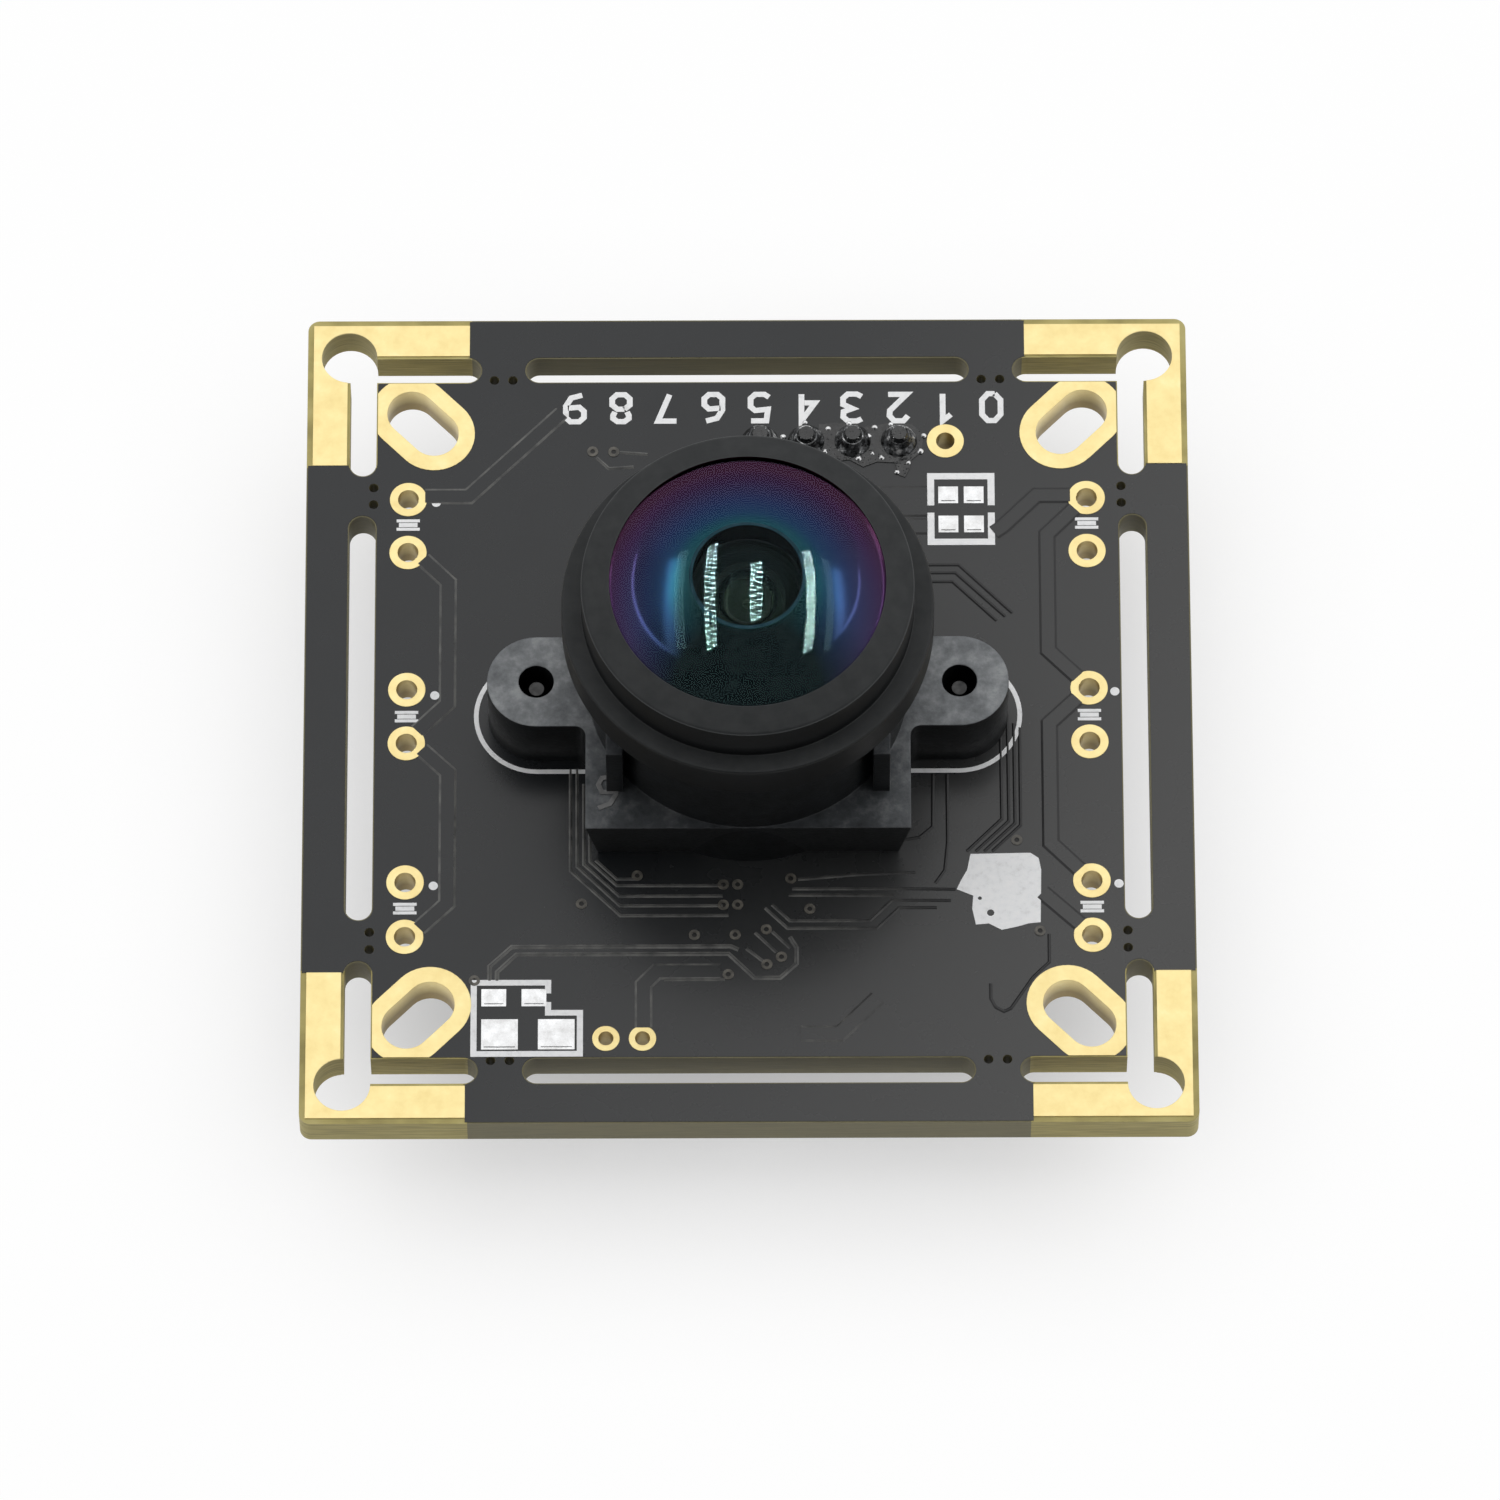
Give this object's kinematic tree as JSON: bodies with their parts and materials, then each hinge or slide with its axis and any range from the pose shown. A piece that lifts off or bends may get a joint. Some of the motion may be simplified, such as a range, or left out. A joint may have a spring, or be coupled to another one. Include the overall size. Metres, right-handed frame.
{
  "type": "board camera module",
  "caption": "Square circuit board camera with a break-away rim, a moulded lens holder and a wide-angle threaded lens.",
  "frame": {"origin": "centre of the four round corner holes, on the back face of the board, which sits on the standoffs", "axes": "+Z along the optical axis towards the scene, +X towards the right of the board as its front is seen with the cable connector's row of pins at the top, +Y towards that row"},
  "size_m": [0.038, 0.038, 0.0224],
  "materials": {
    "board_mask": "satin black solder mask over glass-epoxy laminate with olive yellow edges",
    "gold_plate": "pale immersion gold",
    "solder": "bright tin solder",
    "holder_plastic": "black glass-filled moulding, slightly mottled",
    "black_steel": "black zinc",
    "sensor_ceramic": "matt",
    "sensor_chip": "polished silicon",
    "clear_glass": "clear",
    "filter_glass": "coated, faint blue",
    "black_anodised": "matt black anodised",
    "adhesive": "dark thread lock",
    "coated_glass": "multi-coated, violet, blue and green reflections",
    "connector_plastic": "ivory nylon",
    "tin_plate": "tin plated",
    "chip_resin": "moulded epoxy",
    "can_metal": "satin",
    "capacitor_ceramic": "matt",
    "resistor_ceramic": "glazed black"
  },
  "bodies": {
    "root": {"circuit_board": "board_mask", "corner_lands": "gold_plate", "slot_plating": "gold_plate", "lamp_hole_plating": "gold_plate", "pin_hole_plating": "gold_plate", "test_hole_plating": "gold_plate", "solder_pads": "solder", "pin_solder": "solder", "lens_holder": "holder_plastic", "holder_screws": "black_steel", "sensor_package": "sensor_ceramic", "sensor_die": "sensor_chip", "sensor_cover": "clear_glass", "filter_glass": "filter_glass", "lens_barrel": "black_anodised", "lock_bead": "adhesive", "retaining_ring": "black_anodised", "front_element": "coated_glass", "second_element": "coated_glass", "spacer_sleeve": "black_anodised", "aperture_stop": "black_anodised", "third_element": "coated_glass", "rear_element": "coated_glass", "rear_retainer": "black_anodised", "wafer_housing": "connector_plastic", "wafer_contacts": "tin_plate", "controller_body": "chip_resin", "controller_leads": "tin_plate", "memory_body": "chip_resin", "memory_leads": "tin_plate", "crystal_can": "can_metal", "coil_body": "chip_resin", "coil_terminals": "tin_plate", "regulator_bodies": "chip_resin", "regulator_leads": "tin_plate", "capacitor_bodies": "capacitor_ceramic", "resistor_bodies": "resistor_ceramic", "chip_terminals": "tin_plate"}
  },
  "joints": []
}
